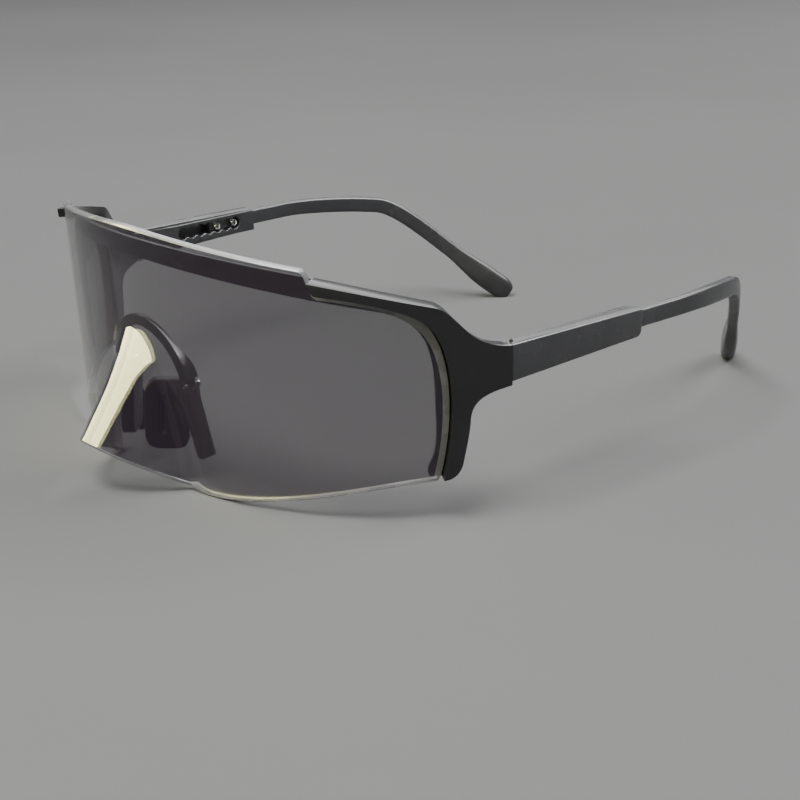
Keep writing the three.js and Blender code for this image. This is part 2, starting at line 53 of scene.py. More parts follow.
GAP = 0.3
BROW_PROUD = 1.3
SEAT_DEPTH = LENS_THICKNESS + GAP
FRAME_BACK, HINGE_BACK = 3.4, 2.15
BROW_SWELL = 0.35

BEAK_SLOPE, BEAK_TOP, BEAK_SOFTNESS = 0.76, 31.3, 7.0
BEAK_APEX, BEAK_SPRING = 35.8, 24.0
BEAK_HALF_WIDTH, BEAK_FLARE = 10.0, 0.27
BEAK_CREST, BEAK_FOOT = 1.8, 1.1
BEAK_EDGE_Z = 11.75

SEAM_X, SEAM_Y = 73.45, 45.8
TEMPLE_SPREAD = math.radians(2.1)
SLEEVE_LENGTH = 39.8
SLEEVE_WALL = 3.4
COVER_FACE = 4.9
TONGUE_DEPTH, TONGUE_Z = 2.2, 34.15

SLOT_PITCH = 3.0
SLOT_LOBES = 7
SLOT_LAST = 32.6
PIN_LOBES = (0, 2)

HINGE_ALONG, HINGE_DEPTH, HINGE_RADIUS = 0.4, 2.95, 1.6
KNUCKLES = (29.7, 31.8, 34.6, 36.9)      # heights: bottom, two joints between knuckles, top
SCREW_BORE, SCREW_RECESS = 0.85, 1.4

ARCH_CENTRE, ARCH_HALF_WIDTH, ARCH_HEIGHT, ARCH_BAND = 20.0, 16.2, 17.4, 2.6
ARCH_FRONT, ARCH_BACK = 2.5, 5.9
LEG_X, LEG_Z, LEG_FOOT = 13.7, 23.2, 5.2
LEG_FRONT, LEG_BACK, LEG_HALF, LEG_SLANT = 2.6, 6.45, 1.1, 0.2
PAD_X, PAD_Y, PAD_Z = 7.5, 3.8, 16.2
PAD_SPLAY, PAD_LEAN = math.pi / 4, 0.08
PAD_LENGTH, PAD_HEIGHT, PAD_THICK = 10.0, 16.2, 3.0

ARM_SECTION, ARM_GROWTH = (2.3, 4.2), (0.5, 0.3)          # thick and high, and what the arm gains
TIP_GROWTH = (1.4, 2.7)                                   # what the tip gains over the arm
TIP_START = 0.78                                          # share of the arm's length
RING_POINTS = 40
ARM_SQUARENESS, TIP_SQUARENESS = 5.0, 2.8

GRAIN_SCALE = 3400

# ---- Camera: degrees, and millimetres except for the lens's focal length on the sensor ----
CAMERA_AZIMUTH, CAMERA_ELEVATION, CAMERA_ROLL = 48.69, 20.21, -1.23
CAMERA_TARGET = (11.31, 69.5, 2.99)
CAMERA_DISTANCE = 361.8
CAMERA_FOCAL = 64.33

# ---- Lights: name, azimuth, elevation, distance, size, power, colour, lights_floor ----
WHITE, CREAM = (1, 1, 1), (1.0, 0.955, 0.47)
LIGHTS = (
    ("front_left", -28, 24, 1.1, (1.75, 0.62), 126, CREAM, False),
    ("key", 7, 68, 2.2, (1.3, 0.7), 31, WHITE, True),
    ("above", 0, 62, 2.3, (2.4, 1.9), 85, WHITE, False),
    ("behind", 150, 45, 2.2, (1.6, 0.5), 22, WHITE, True),
    ("behind_soft", 150, 48, 2.3, (2.4, 1.3), 70, WHITE, False),
    ("rear", -131, 24, 3.0, (3.0, 0.9), 22, WHITE, False),
    ("edges", 120, 74, 1.0, (0.5, 1.3), 40, WHITE, False),
)
WORLD_COLOUR, WORLD_STRENGTH = (0.80, 0.82, 0.85, 1), 0.31


# ---- Outlines ----
class Outline:
    """A chain of points made of straight lines and Bezier curves."""

    def __init__(self, x, y):
        self.points = [(x, y)]

    def line(self, *corners):
        self.points.extend(corners)
        return self

    def quad(self, cx, cy, x, y, steps=12):
        x0, y0 = self.points[-1]
        for i in range(1, steps + 1):
            t = i / steps
            a, b, c = (1 - t) ** 2, 2 * t * (1 - t), t * t
            self.points.append((a * x0 + b * cx + c * x, a * y0 + b * cy + c * y))
        return self

    def cubic(self, c1x, c1y, c2x, c2y, x, y, steps=20):
        x0, y0 = self.points[-1]
        for i in range(1, steps + 1):
            t = i / steps
            a, b, c, d = (1 - t) ** 3, 3 * t * (1 - t) ** 2, 3 * t * t * (1 - t), t ** 3
            self.points.append((a * x0 + b * c1x + c * c2x + d * x,
                                a * y0 + b * c1y + c * c2y + d * y))
        return self


def symmetric(half):
    """The closed outline of a right half that runs from the centre line round to it again."""
    right = half.points
    return right + [(-x, y) for x, y in reversed(right) if x > 1e-6]


def lens_half(edge):
    path = Outline(0, LENS_TOP + edge)
    path.quad(14, LENS_TOP + edge, 48.3, 54.5 + edge, 24)
    path.quad(49.7 + edge, 54.4 + edge, 50.2 + edge, 52.6)
    path.line((51.2 + edge, 50.2 + edge))
    path.quad(51.5 + edge, 49.5 + edge, 52.4 + edge, 49.4 + edge)
    path.cubic(60, 48.8 + edge, 67.5, 47.3 + edge, 71.8 + edge, 44.7 + edge)
    path.cubic(76.2 + edge, 42.2 + edge, 78.5 + edge, 36, 78.5 + edge, 26.5)
    path.cubic(78.5 + edge, 20.5, 77.4 + edge, 14.5, 76.2 + edge, 10)
    path.quad(75.9 + edge, 9 - edge, 74.8 + edge, 8.9 - edge)
    return path


def lens_outline():
    path = lens_half(0)
    path.cubic(60, 8.2, 36, 0, 21, 0, 30)
    path.quad(17.6, 0.1, 15.8, 1.5)
    path.cubic(11.5, 5.6, 5.2, BEAK_EDGE_Z, 0, BEAK_EDGE_Z)
    return symmetric(path)


def pocket_outline():
    return symmetric(lens_half(GAP).line((74.8, -5), (0, -5)))


def frame_outline():
    path = Outline(0, 55.2)
    path.quad(22, 55.2, 48, 52.6, 20)
    path.cubic(58, 51.4, 67, 49.3, 75.4, 47.3)
    path.quad(77, 46.9, 78.4, 45.6)
    path.line((81.6, 42.2))
    path.cubic(84.3, 39.3, 87, 37.6, 94, 37.2)
    path.line((94, 29))
    path.cubic(87, 28.4, 82.8, 27.6, 82.3, 22.6)
    path.cubic(82, 19, 81.1, 16, 80.6, 13.6)
    path.quad(80, 10.6, 77.6, 9.8)
    path.line((74, 9.2))
    path.quad(73, 10.4, 74.2, 12.2)
    path.cubic(75.8, 14.6, 75.9, 19, 75.8, 24)
    path.cubic(75.7, 30, 76.2, 36, 73, 40.8)
    path.cubic(71, 43.6, 68, 45, 63.5, 45.8)
    path.cubic(50, 48, 22, 51.1, 0, 51.1, 30)
    return symmetric(path)


# ---- The wrapped front ----
def smoothstep(low, high, value):
    t = min(1.0, max(0.0, (value - low) / (high - low)))
    return t * t * (3 - 2 * t)


def on_wrap(across, depth, z):
    reach = abs(across)
    heading = x = y = start = 0.0
    for radius, end in WRAP_ARCS:
        after = heading + (min(reach, end) - start) / radius
        x += radius * (math.sin(after) - math.sin(heading))
        y += radius * (math.cos(heading) - math.cos(after))
        heading, start = after, end
        if reach <= end:
            break
    x -= depth * math.sin(heading)
    y += depth * math.cos(heading)
    return Vector((math.copysign(x, across), y + FRONT_TILT * (LENS_TOP - z), z))


def beak_rise(across, z):
    below = BEAK_TOP - z
    arch = min(1.0, max(0.0, z - BEAK_SPRING) / (BEAK_APEX - BEAK_SPRING))
    ridge = BEAK_SLOPE * (below + math.hypot(below, BEAK_SOFTNESS)) / 2 * (1 - arch ** 4)
    half_width = BEAK_HALF_WIDTH * math.sqrt(1 - arch * arch) + BEAK_FLARE * max(0.0, BEAK_SPRING - z)
    if abs(across) >= half_width:
        return 0.0
    return ridge * (1 - (abs(across) / half_width) ** BEAK_CREST) ** BEAK_FOOT


def lens_front(across, z):
    point = on_wrap(across, 0, z)
    point.y -= beak_rise(across, z)
    return point


def on_lens(across, depth, z):
    step = 0.05
    along_x = lens_front(across + step, z) - lens_front(across - step, z)
    along_z = lens_front(across, z + step) - lens_front(across, z - step)
    inward = along_z.cross(along_x).normalized()
    return lens_front(across, z) + inward * depth


def on_frame(across, depth, z):
    thinned = smoothstep(75, 84, abs(across))
    back = 1 + (HINGE_BACK / FRAME_BACK - 1) * thinned
    front = 1 + BROW_SWELL * (1 - thinned)
    return on_wrap(across, depth * (back if depth > 0 else front), z)


def temple_point(along, depth, z):
    sin, cos = math.sin(TEMPLE_SPREAD), math.cos(TEMPLE_SPREAD)
    return Vector((SEAM_X + along * sin - depth * cos, SEAM_Y + along * cos + depth * sin, z))


def pad_point(along, up, depth):
    sin, cos = math.sin(PAD_SPLAY), math.cos(PAD_SPLAY)
    y = PAD_Y + along * sin - depth * cos + PAD_LEAN * up
    return Vector((PAD_X + along * cos + depth * sin, y, PAD_Z + up))


# ---- Mesh helpers, all in millimetres until a piece is finished ----
def new_object(name, bm):
    bmesh.ops.recalc_face_normals(bm, faces=bm.faces)
    mesh = bpy.data.meshes.new(name)
    bm.to_mesh(mesh)
    bm.free()
    obj = bpy.data.objects.new(name, mesh)
    bpy.context.scene.collection.objects.link(obj)
    return obj


def plate(name, points, near, far):
    """A flat solid of an outline drawn with x across and y up, between two depths."""
    bm = bmesh.new()
    front = [bm.verts.new((x, near, z)) for x, z in points]
    back = [bm.verts.new((x, far, z)) for x, z in points]
    bm.faces.new(front)
    bm.faces.new(back[::-1])
    for i in range(len(points)):
        k = (i + 1) % len(points)
        bm.faces.new((front[i], back[i], back[k], front[k]))
    return new_object(name, bm)


def block(name, low, high):
    (x0, y0, z0), (x1, y1, z1) = low, high
    return plate(name, [(x0, z0), (x1, z0), (x1, z1), (x0, z1)], y0, y1)


def turned(name, profile, segments=40):
    """A round solid about the Y axis, from (radius, y) pairs that start and end on the axis."""
    bm = bmesh.new()
    rings = []
    for radius, y in profile:
        if radius == 0:
            rings.append([bm.verts.new((0, y, 0))])
            continue
        turns = [2 * math.pi * i / segments for i in range(segments)]
        rings.append([bm.verts.new((radius * math.cos(a), y, radius * math.sin(a))) for a in turns])
    for near, far in zip(rings, rings[1:]):
        for i in range(segments):
            k = (i + 1) % segments
            corners = [near[i % len(near)], near[k % len(near)], far[k % len(far)], far[i % len(far)]]
            bm.faces.new(list(dict.fromkeys(corners)))
    return new_object(name, bm)


def loft(name, rings):
    bm = bmesh.new()
    made = [[bm.verts.new(point) for point in ring] for ring in rings]
    for near, far in zip(made, made[1:]):
        for i in range(len(near)):
            k = (i + 1) % len(near)
            bm.faces.new((near[i], near[k], far[k], far[i]))
    bm.faces.new(made[0])
    bm.faces.new(made[-1][::-1])
    return new_object(name, bm)


def applied(obj):
    """The object with its modifiers worked into its mesh."""
    graph = bpy.context.evaluated_depsgraph_get()
    mesh = bpy.data.meshes.new_from_object(obj.evaluated_get(graph))
    old = obj.data
    obj.modifiers.clear()
    obj.data = mesh
    bpy.data.meshes.remove(old)
    return obj


def boolean(obj, tool, operation):
    modifier = obj.modifiers.new("boolean", "BOOLEAN")
    modifier.operation = operation
    modifier.solver = "EXACT"
    modifier.object = tool
    applied(obj)
    bpy.data.objects.remove(tool)
    return obj


def rounded(obj, width, segments=3, angle=35):
    modifier = obj.modifiers.new("bevel", "BEVEL")
    modifier.width = width
    modifier.segments = segments
    modifier.limit_method = "ANGLE"
    modifier.angle_limit = math.radians(angle)
    modifier.miter_outer = "MITER_ARC"
    return applied(obj)


def divided(obj, columns=(), rows=(), depths=()):
    """Splits the faces along planes of x, z and y, so that a flat piece can bend smoothly."""
    bm = bmesh.new()
    bm.from_mesh(obj.data)
    for values, axis in ((columns, 0), (depths, 1), (rows, 2)):
        normal = Vector([float(i == axis) for i in range(3)])
        for value in values:
            geometry = bm.verts[:] + bm.edges[:] + bm.faces[:]
            bmesh.ops.bisect_plane(bm, geom=geometry, dist=1e-4,
                                   plane_co=normal * value, plane_no=normal)
    bm.to_mesh(obj.data)
    bm.free()
    return obj


def bent(obj, place):
    for vertex in obj.data.vertices:
        vertex.co = place(*vertex.co)
    return obj


def steps(step, low, high):
    count = round((high - low) / step)
    return [low + i * (high - low) / count for i in range(count + 1)]


def finished(obj, body, nodes, material, sharp=40):
    """Scales a piece to metres at its place, shades it and rides it on its body."""
    obj.data.transform(Matrix.Translation((0, -ORIGIN_Y, 0)))
    obj.data.transform(Matrix.Scale(MM, 4))
    obj.data.shade_smooth()
    obj.data.set_sharp_from_angle(angle=math.radians(sharp))
    if not obj.data.materials:
        obj.data.materials.append(material)
    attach(obj, body)
    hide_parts(*nodes)


def flipped(obj):
    """The object turned into its own mirror image, from left to right."""
    obj.data.transform(Matrix.Diagonal((-1, 1, 1, 1)))
    obj.data.flip_normals()
    return obj


def mirror_copy(obj, name):
    copy = obj.copy()
    copy.data = obj.data.copy()
    copy.name = name
    bpy.context.scene.collection.objects.link(copy)
    return flipped(copy)


def finished_pair(obj, body, nodes, material, sharp=40):
    """Finishes a left-hand piece and its mirror image. Names and bodies are given without a side."""
    base = obj.name
    right = mirror_copy(obj, f"{base}_right")
    obj.name = f"{base}_left"
    for piece, side in ((obj, "left"), (right, "right")):
        whole = body if body == "front" else f"{side}_{body}"
        finished(piece, whole, [f"{node}_{side}" for node in nodes], material, sharp)


# ---- Materials ----
class Nodes:
    """A material with a Principled surface, and short ways to add and join its nodes."""

    def __init__(self, name, **values):
        self.material = bpy.data.materials.new(name)
        self.material.use_nodes = True
        self.tree = self.material.node_tree
        self.surface = self.tree.nodes["Principled BSDF"]
        for socket, value in values.items():
            self.surface.inputs[socket.replace("_", " ")].default_value = value

    def add(self, kind, **values):
        node = self.tree.nodes.new(kind)
        for socket, value in values.items():
            node.inputs[socket.replace("_", " ")].default_value = value
        return node

    def link(self, output, target):
        self.tree.links.new(output, target)

    def noise(self, scale, detail=3.0, roughness=0.5):
        place = self.add("ShaderNodeTexCoord")
        noise = self.add("ShaderNodeTexNoise", Scale=scale, Detail=detail, Roughness=roughness)
        self.link(place.outputs["Object"], noise.inputs["Vector"])
        return noise.outputs["Fac"]

    def spread(self, value, low, high):
        """Maps a value from 0..1, mostly near its middle, to low..high."""
        node = self.add("ShaderNodeMapRange", From_Min=0.3, From_Max=0.7, To_Min=low, To_Max=high)
        self.link(value, node.inputs["Value"])
        return node.outputs["Result"]

    def colours(self, value, dark, light):
        ramp = self.add("ShaderNodeValToRGB")
        stops = zip(ramp.color_ramp.elements, (0.3, 0.7), (dark, light))
        for element, position, colour in stops:
            element.position = position
            element.color = (*colour, 1)
        self.link(value, ramp.inputs["Fac"])
        self.link(ramp.outputs["Color"], self.surface.inputs["Base Color"])

    def rough(self, value, low, high):
        self.link(self.spread(value, low, high), self.surface.inputs["Roughness"])

    def bump(self, value, strength, distance):
        bump = self.add("ShaderNodeBump", Strength=strength, Distance=distance)
        self.link(value, bump.inputs["Height"])
        self.link(bump.outputs["Normal"], self.surface.inputs["Normal"])


def grey(value, blue=1.0):
    return (value, value, value * blue)


def moulded_plastic(name, shade, roughness):
    """Satin moulded plastic: a fine spark-eroded grain and slow changes of gloss."""
    nodes = Nodes(name, Specular_IOR_Level=0.5)
    slow = nodes.noise(60, 4)
    nodes.colours(slow, grey(shade * 0.85, 1.08), grey(shade * 1.2, 1.05))
    nodes.rough(slow, roughness - 0.05, roughness + 0.05)
    nodes.bump(nodes.noise(GRAIN_SCALE, 2), 0.06, 0.00003)
    return nodes.material


def soft_rubber(name, shade, roughness):
    nodes = Nodes(name, Specular_IOR_Level=0.35, Sheen_Weight=0.15, Sheen_Roughness=0.4)
    slow = nodes.noise(90, 4)
    nodes.colours(slow, grey(shade * 0.8), grey(shade * 1.25))
    nodes.rough(slow, roughness - 0.06, roughness + 0.06)
    nodes.bump(nodes.noise(2600, 2), 0.2, 0.00005)
    return nodes.material


def turned_steel():
    nodes = Nodes("turned_steel", Metallic=1.0)
    slow = nodes.noise(700, 3)
    nodes.colours(slow, grey(0.30), grey(0.42))
    nodes.rough(slow, 0.18, 0.34)
    nodes.bump(nodes.noise(5200, 1), 0.1, 0.00002)
    return nodes.material


def lens_tint():
    """Smoke-tinted polycarbonate with a hard coat: clear enough to see the nose piece behind."""
    nodes = Nodes("lens_tint", Alpha=0.48, IOR=1.58, Coat_Weight=1.0, Coat_Roughness=0.02)
    slow = nodes.noise(14, 3)
    nodes.colours(slow, (0.024, 0.009, 0.025), (0.031, 0.012, 0.032))
    nodes.rough(slow, 0.02, 0.05)
    return nodes.material


def lens_edge():
    """The lens's polished rim, where the tint is seen end on and gathers light."""
    nodes = Nodes("lens_edge", IOR=1.58, Coat_Weight=0.5, Coat_Roughness=0.12)
    slow = nodes.noise(120, 3)
    nodes.colours(slow, grey(0.28), grey(0.36))
    nodes.rough(slow, 0.2, 0.32)
    return nodes.material


def pale_floor():
    nodes = Nodes("pale_floor", Specular_IOR_Level=0.0)
    slow = nodes.noise(3, 5)
    nodes.colours(slow, grey(0.31, 0.98), grey(0.34, 0.98))
    nodes.rough(slow, 0.55, 0.7)
    return nodes.material


FRAME_PLASTIC = moulded_plastic("frame_plastic", 0.020, 0.19)
TEMPLE_PLASTIC = moulded_plastic("temple_plastic", 0.066, 0.25)
PAD_RUBBER = soft_rubber("pad_rubber", 0.009, 0.36)
TIP_RUBBER = soft_rubber("tip_rubber", 0.068, 0.34)
STEEL = turned_steel()
LENS_TINT = lens_tint()
LENS_EDGE = lens_edge()


# ---- Front ----
def drawn_in(outline, width):
    """The outline moved inwards, by a width that depends on the point."""
    moved = []
    for i, (x, z) in enumerate(outline):
        (x0, z0), (x1, z1) = outline[i - 1], outline[(i + 1) % len(outline)]
        length = math.hypot(x1 - x0, z1 - z0)
        reach = width(x, z) / length
        moved.append((x + (z1 - z0) * reach, z - (x1 - x0) * reach))
    return moved


def ground_share(x, z):
    """How far the lens's edge is ground to a slope: fully beside the frame, less along the brow."""
    framed = smoothstep(50.8, 52.5, abs(x)) * smoothstep(8.9, 9.6, z)
    return framed * (0.45 + 0.55 * smoothstep(64, 76, abs(x)))


def make_lens():
    outline = lens_outline()
    bevel, slope = 0.3, 1.35
    front = drawn_in(outline, lambda x, z: bevel + slope * ground_share(x, z))
    back = drawn_in(outline, lambda x, z: bevel)
    rings = [
        [(x, 0, z) for x, z in front],
        [(x, bevel + 0.75 * ground_share(x, z), z) for x, z in outline],
        [(x, LENS_THICKNESS - bevel, z) for x, z in outline],
        [(x, LENS_THICKNESS, z) for x, z in back],
    ]
    lens = loft("lens_shield", rings)
    divided(lens, (*steps(1.5, -78, -21), *steps(0.75, -20.25, 20.25), *steps(1.5, 21, 78)),
            (*steps(1.2, 1.2, 27.6), *steps(0.6, 28.2, 37.8), *steps(1.8, 39.6, 57.6)))
    lens.data.materials.append(LENS_TINT)
    lens.data.materials.append(LENS_EDGE)
    for face in lens.data.polygons:
        face.material_index = int(abs(face.normal.y) < 0.96)
    bent(lens, on_lens)
    finished(lens, "front", ["lens"], LENS_TINT, 30)


def upright(obj, side=1):
    """Stands a piece that was turned about Y on the hinge's axis, on the left or on the right."""
    centre = temple_point(HINGE_ALONG, HINGE_DEPTH, 0)
    obj.data.transform(Matrix.Rotation(math.pi / 2, 4, "X"))
    obj.data.transform(Matrix.Translation((side * centre.x, centre.y, 0)))
    return obj


def hinge_cylinder(radius, low, high, side=1, ease=0.0):
    profile = [(0, low), (radius - ease, low), (radius, low + ease), (radius, high - ease),
               (radius - ease, high), (0, high)]
    return upright(turned("hinge_cylinder", list(dict.fromkeys(profile))), side)


def make_frame():
    shell = plate("frame_shell", frame_outline(), -BROW_PROUD, FRAME_BACK)
    boolean(shell, plate("pocket", pocket_outline(), -BROW_PROUD - 5, SEAT_DEPTH), "DIFFERENCE")
    rounded(shell, 0.62)
    divided(shell, steps(1.3, -92, 92))
    bent(shell, on_frame)
    low, mid_low, mid_high, high = KNUCKLES
    seam = SEAM_Y - GAP
    for side in (1, -1):
        near, far = sorted((side * 60, side * 90))
        boolean(shell, block("behind_seam", (near, seam, 0), (far, seam + 12, 60)), "DIFFERENCE")
        clear = hinge_cylinder(HINGE_RADIUS + GAP, mid_low - GAP, mid_high + GAP, side)
        boolean(shell, clear, "DIFFERENCE")
        for bottom, top in ((low, mid_low - GAP), (mid_high + GAP, high)):
            boolean(shell, hinge_cylinder(HINGE_RADIUS, bottom, top, side, 0.15), "UNION")
        boolean(shell, hinge_cylinder(SCREW_BORE, 20, 45, side), "DIFFERENCE")
        boolean(shell, hinge_cylinder(SCREW_RECESS, 20, low, side), "DIFFERENCE")
    finished(shell, "front", ["front_frame"], FRAME_PLASTIC, 35)


def make_hinge_screws():
    low, high = KNUCKLES[0], KNUCKLES[3]
    profile = [(0, low - 0.55), (0.42, low - 0.55), (0.42, low - 0.9), (0.9, low - 0.9),
               (1.1, low - 0.7), (1.1, low - 0.15), (0.6, low - 0.15), (0.6, high - 0.3),
               (0.4, high - 0.1), (0, high - 0.1)]
    screw = upright(turned("hinge_pin", profile))
    finished_pair(screw, "front", ["hinge_screw"], STEEL)


# ---- Nose piece ----
def arch_outline():
    low = math.asin((LEG_Z + 2.1 - ARCH_CENTRE) / ARCH_HEIGHT)
    turns = [low + (math.pi - 2 * low) * i / 48 for i in range(49)]

    def arc(inset):
        width, height = ARCH_HALF_WIDTH - inset, ARCH_HEIGHT - inset
        return [(width * math.cos(a), ARCH_CENTRE + height * math.sin(a)) for a in turns]

    return arc(0) + arc(ARCH_BAND)[::-1]


def strap_outline(radius, square_end):
    up = square_end > LEG_Z
    turns = [(-1 if up else 1) * math.pi * i / 16 for i in range(17)]
    arc = [(LEG_X + radius * math.cos(a), LEG_Z + radius * math.sin(a)) for a in turns]
    return arc + [(LEG_X - radius, square_end), (LEG_X + radius, square_end)]


def pivot_cylinder(name, profile):
    obj = turned(name, profile, 32)
    obj.data.transform(Matrix.Translation((LEG_X, 0, LEG_Z)))
    return obj


def pivot_bore():
    return pivot_cylinder("bore", [(0, 0), (0.8, 0), (0.8, 12), (0, 12)])


def make_bracket():
    arch = rounded(plate("nose_arch", arch_outline(), ARCH_FRONT, ARCH_BACK), 0.3)
    for side in (1, -1):
        lug = rounded(plate("lug", strap_outline(1.35, LEG_Z + 3.2), 3.75, 5.3), 0.2)
        boolean(lug, pivot_bore(), "DIFFERENCE")
        if side < 0:
            flipped(lug)
        boolean(arch, lug, "UNION")
    divided(arch, steps(0.7, -14, 14), steps(0.7, 25.5, 37))

    def thinned(across, depth, z):
        share = 1 - 0.65 * smoothstep(27, 34, z)
        return on_wrap(across, ARCH_FRONT + (depth - ARCH_FRONT) * share, z)

    finished(bent(arch, thinned), "front", ["nose_bracket"], FRAME_PLASTIC)


def pad_block(along0, along1, half_depth, half_height):
    obj = block("pad_block", (along0, -half_height, -half_depth), (along1, half_height, half_depth))
    return bent(obj, pad_point)


def make_legs():
    inner, outer = LEG_X - LEG_HALF, LEG_X + LEG_HALF
    top = LEG_Z - 1.65
    strip = [(inner, top), (outer, top), (outer, LEG_FOOT + 0.4), (outer - 0.4, LEG_FOOT),
             (inner + 0.5, LEG_FOOT), (inner, LEG_FOOT + 0.5)]
    leg = plate("leg_blade", strip, LEG_FRONT, LEG_BACK)
    cheek = strap_outline(LEG_HALF, LEG_Z - 2)
    boolean(leg, plate("cheek", cheek, LEG_FRONT, 3.45), "UNION")
    boolean(leg, plate("cheek", cheek, 5.6, LEG_BACK), "UNION")
    rounded(leg, 0.22)
    boolean(leg, pivot_bore(), "DIFFERENCE")
    divided(leg, (), (LEG_Z - 3, *steps(2, 7, 19)))
    bent(leg, lambda x, y, z: on_wrap(x, y + LEG_SLANT * max(0.0, LEG_Z - 3 - z), z))
    boolean(leg, pad_block(1.9, 7.6, 0.5, 2.5), "UNION")
    finished_pair(leg, "pad", ["nose_leg"], FRAME_PLASTIC)


def make_leg_pins():
    front, back = LEG_FRONT + 0.2, LEG_BACK + 0.75
    profile = [(0, front), (0.4, front), (0.5, front + 0.1), (0.5, back - 0.6), (0.9, back - 0.6),
               (0.9, back - 0.2), (0.7, back), (0, back)]
    pin = bent(pivot_cylinder("leg_pin", profile), on_wrap)
    finished_pair(pin, "front", ["nose_leg_pin"], STEEL)


def make_pads():
    along, up, turn = PAD_LENGTH / 2, PAD_HEIGHT / 2, 3.0
    path = Outline(-along, -up + turn + 1)
    path.quad(-along, -up, -along + turn + 1, -up)
    path.line((along - turn, -up)).quad(along, -up, along, -up + turn)
    path.line((along, up - turn)).quad(along, up, along - turn, up)
    path.line((-along + turn, up)).quad(-along, up, -along, up - turn - 1)
    pad = plate("soft_pad", path.points, -PAD_THICK / 2, PAD_THICK / 2)
    slot = Outline(-1.5, -3.6).quad(-1.5, -4.5, -0.9, -4.5).quad(-0.3, -4.5, -0.3, -3.6)
    slot.line((-0.3, 3.6)).quad(-0.3, 4.5, -0.9, 4.5).quad(-1.5, 4.5, -1.5, 3.6)
    boolean(pad, plate("slot", slot.points, -5, -0.4), "DIFFERENCE")
    rounded(pad, 0.7, 5, 50)
    bent(pad, lambda x, y, z: pad_point(x, z, -y))
    boolean(pad, pad_block(1.6, 12, 0.8, 2.8), "DIFFERENCE")
    finished_pair(pad, "pad", ["nose_pad"], PAD_RUBBER, 50)


# ---- Temples, drawn on the left ----
def make_sleeves():
    end = SLEEVE_LENGTH
    path = Outline(0, 29.3).line((end - 2, 30.5)).quad(end, 30.5, end, 32.3, 6)
    path.line((end, 36.4)).quad(end, 37, end - 0.6, 37, 4).line((0, 37.5))
    sleeve = rounded(plate("sleeve_shell", path.points, 0, SLEEVE_WALL), 0.5, 4)
    channel = block("channel", (12, 0.85, 31.9), (end + 1, SLEEVE_WALL + 1, 36.4))
    boolean(sleeve, channel, "DIFFERENCE")
    bent(sleeve, temple_point)
    low, mid_low, mid_high, high = KNUCKLES
    boolean(sleeve, hinge_cylinder(HINGE_RADIUS + GAP, 25, mid_low), "DIFFERENCE")
    boolean(sleeve, hinge_cylinder(HINGE_RADIUS + GAP, mid_high, 45), "DIFFERENCE")
    boolean(sleeve, hinge_cylinder(HINGE_RADIUS, mid_low, mid_high, 1, 0.1), "UNION")
    boolean(sleeve, hinge_cylinder(SCREW_BORE, 20, 45), "DIFFERENCE")
    finished_pair(sleeve, "temple", ["temple_sleeve"], TEMPLE_PLASTIC)


def scalloped_slot():
    first = SLOT_LAST - (SLOT_LOBES - 1) * SLOT_PITCH
    run = steps(SLOT_PITCH / 12, first, SLOT_LAST)
    half = [1.5 + 0.28 * math.cos(2 * math.pi * (x - first) / SLOT_PITCH) for x in run]
    turns = [math.radians(turn) for turn in range(-75, 76, 15)]
    bottom = [(x, TONGUE_Z - h) for x, h in zip(run, half)]
    rear = [(SLOT_LAST + 1.78 * math.cos(a), TONGUE_Z + 1.78 * math.sin(a)) for a in turns]
    top = [(x, TONGUE_Z + h) for x, h in zip(run, half)][::-1]
    fore = [(first - 1.78 * math.cos(a), TONGUE_Z - 1.78 * math.sin(a)) for a in turns]
    return bottom + rear + top + fore


def make_covers():
    seat, end = SLEEVE_WALL + GAP, SLEEVE_LENGTH - 0.2
    cover = plate("slot_cover", [(3, 30.9), (end, 30.9), (end, 36.7), (3, 36.7)], seat, COVER_FACE)
    boolean(cover, plate("slot", scalloped_slot(), 0, 9), "DIFFERENCE")
    rounded(cover, 0.22)
    divided(cover, (4, 5, 13))

    def ramped(along, depth, z):
        rise = min(1.0, max(0.17, (along - 3) / 10))
        return temple_point(along, seat + (depth - seat) * rise, z)

    finished_pair(bent(cover, ramped), "temple", ["sleeve_cover"], TEMPLE_PLASTIC)


def cubic_points(a, b, c, d, count=120):
    points = []
    for i in range(count):
        t = i / (count - 1)
        s = 1 - t
        points.append(a * s ** 3 + b * (3 * t * s * s) + c * (3 * t * t * s) + d * t ** 3)
    return points


class Path:
    """A dense chain of points that can be read by its share of the whole length."""

    def __init__(self, points):
        self.points = points
        self.reach = [0.0]
        for a, b in zip(points, points[1:]):
            self.reach.append(self.reach[-1] + (b - a).length)

    def at(self, share):
        goal = share * self.reach[-1]
        k = next(i for i in range(1, len(self.reach)) if self.reach[i] >= goal - 1e-9)
        span = self.reach[k] - self.reach[k - 1]
        mix = (goal - self.reach[k - 1]) / span if span else 0.0
        return self.points[k - 1].lerp(self.points[k], mix)

    def frame(self, share):
        along = (self.at(min(1, share + 0.004)) - self.at(max(0, share - 0.004))).normalized()
        across = along.cross(Vector((0, 0, 1))).normalized()
        return self.at(share), across, across.cross(along).normalized()


def arm_path():
    start = temple_point(24.6, TONGUE_DEPTH, TONGUE_Z)
    bend = temple_point(53, TONGUE_DEPTH, TONGUE_Z)
    ahead = temple_point(61, TONGUE_DEPTH, TONGUE_Z)
    middle = Vector((66.4, 129.8, 31.6))
    points = [start.lerp(bend, i / 40) for i in range(40)]
    points += cubic_points(bend, ahead, Vector((70.4, 120, 33.2)), middle)[:-1]
    points += cubic_points(middle, Vector((62.8, 138.6, 30.2)), Vector((51.5, 152.5, 10.8)),
                           Vector((42.2, 164.5, 1.1)))
    return Path(points)


